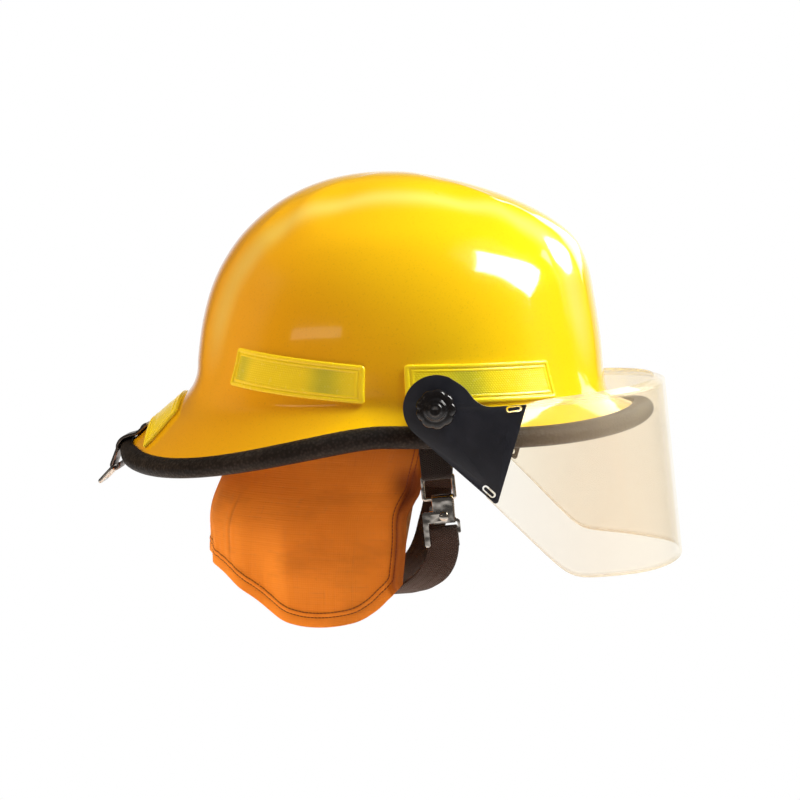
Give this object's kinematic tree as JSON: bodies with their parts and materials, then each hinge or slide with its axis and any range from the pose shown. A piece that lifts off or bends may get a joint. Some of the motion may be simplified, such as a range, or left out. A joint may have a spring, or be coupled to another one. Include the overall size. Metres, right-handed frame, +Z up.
{
  "type": "firefighter helmet",
  "caption": "Fire helmet: glossy ridged shell with flared rear brim and rubber edge, flip-up clear face shield, cloth neck curtain, ratchet headband, chin strap and rear hanging ring.",
  "frame": {"origin": "the middle of the wearer's head at brow level, on the plane of symmetry", "axes": "+X to the front of the helmet, +Y to the wearer's left, +Z up through the crown"},
  "size_m": [0.3936, 0.2896, 0.2914],
  "materials": {
    "shell_yellow": "high gloss moulded in yellow",
    "trim_rubber": "matt, faintly grained",
    "reflective_lime": "retroreflective lime-yellow film, satin",
    "liner_foam": "dark closed-cell foam",
    "suspension_nylon": "moulded nylon, satin",
    "sweatband_cloth": "padded brushed cloth",
    "webbing": "woven webbing",
    "curtain_cloth": "orange flame-resistant twill",
    "shield_clear": "clear polycarbonate with a pale amber cast",
    "bracket_black": "black nylon, matt",
    "knob_black": "black, glossy",
    "washer_rubber": "black rubber",
    "hardware_steel": "plated steel"
  },
  "bodies": {
    "helmet": {"outer_shell": "shell_yellow", "edge_trim": "trim_rubber", "rear_strip_right": "reflective_lime", "rear_strip_left": "reflective_lime", "front_strip_right": "reflective_lime", "front_strip_left": "reflective_lime", "back_strip": "reflective_lime", "impact_liner": "liner_foam", "headband": "suspension_nylon", "suspension_clip_front_left": "suspension_nylon", "suspension_clip_front_right": "suspension_nylon", "suspension_clip_rear_left": "suspension_nylon", "suspension_clip_rear_right": "suspension_nylon", "ratchet_inner_cover": "suspension_nylon", "ratchet_outer_cover": "suspension_nylon", "sweatband": "sweatband_cloth", "crown_strap_lower": "webbing", "crown_strap_upper": "webbing", "upper_strap_right": "webbing", "upper_strap_left": "webbing", "chin_strap": "webbing", "neck_curtain": "curtain_cloth", "pivot_spacer_right": "bracket_black", "pivot_spacer_left": "bracket_black", "backing_pad_right": "washer_rubber", "backing_pad_left": "washer_rubber", "friction_washer_right": "washer_rubber", "friction_washer_left": "washer_rubber", "knob_washer_right": "washer_rubber", "knob_washer_left": "washer_rubber", "pivot_bolt_right": "hardware_steel", "pivot_bolt_left": "hardware_steel", "strap_ring_right": "hardware_steel", "strap_ring_left": "hardware_steel", "snap_hook": "hardware_steel", "strap_frame": "hardware_steel", "snap_rivet": "hardware_steel", "hanger_plate": "hardware_steel", "hanger_rivet": "hardware_steel"},
    "visor": {"face_shield": "shield_clear", "shield_bracket_right": "bracket_black", "shield_bracket_left": "bracket_black"},
    "knob_right": {"pivot_knob_right": "knob_black"},
    "knob_left": {"pivot_knob_left": "knob_black"},
    "ratchet": {"ratchet_knob": "knob_black", "ratchet_pinion": "suspension_nylon"},
    "rack_left": {"ratchet_rack_left": "suspension_nylon"},
    "rack_right": {"ratchet_rack_right": "suspension_nylon"},
    "hanger": {"hanger_ring": "hardware_steel"},
    "lever": {"snap_lever": "hardware_steel"}
  },
  "joints": [
    {"name": "visor_hinge", "type": "hinge", "parent": "helmet", "child": "visor", "pos_m": [0.034, 0, 0.0194], "axis": [0, -1, 0], "range_deg": [0, 70]},
    {"name": "knob_right_turn", "type": "hinge", "parent": "helmet", "child": "knob_right", "pos_m": [0.034, -0.1347, 0.0194], "axis": [0, -1, 0], "range_deg": [0, 270]},
    {"name": "knob_left_turn", "type": "hinge", "parent": "helmet", "child": "knob_left", "pos_m": [0.034, 0.1347, 0.0194], "axis": [0, 1, 0], "range_deg": [0, 270]},
    {"name": "ratchet_turn", "type": "hinge", "parent": "helmet", "child": "ratchet", "pos_m": [-0.0991, 0, 0.014], "axis": [-1, 0, 0], "range_deg": [-90, 90]},
    {"name": "rack_left_run", "type": "hinge", "parent": "helmet", "child": "rack_left", "pos_m": [-0.018, 0, 0.014], "axis": [0, 0, 1], "range_deg": [-5.6, 5.6]},
    {"name": "rack_right_run", "type": "hinge", "parent": "helmet", "child": "rack_right", "pos_m": [-0.018, 0, 0.014], "axis": [0, 0, 1], "range_deg": [-5.6, 5.6]},
    {"name": "hanger_swing", "type": "hinge", "parent": "helmet", "child": "hanger", "pos_m": [-0.19163, 0, -0.03149], "axis": [0, 1, 0], "range_deg": [-45, 120]},
    {"name": "lever_press", "type": "hinge", "parent": "helmet", "child": "lever", "pos_m": [0.03681, -0.10351, -0.05194], "axis": [0, 1, 0], "range_deg": [0, 25], "stiffness_Nm_per_rad": 0.02, "springref_deg": -17.19}
  ],
  "couplings": [
    {"joint": "rack_left_run", "follows": "ratchet_turn", "ratio": -0.061652},
    {"joint": "rack_right_run", "follows": "ratchet_turn", "ratio": 0.061652}
  ]
}
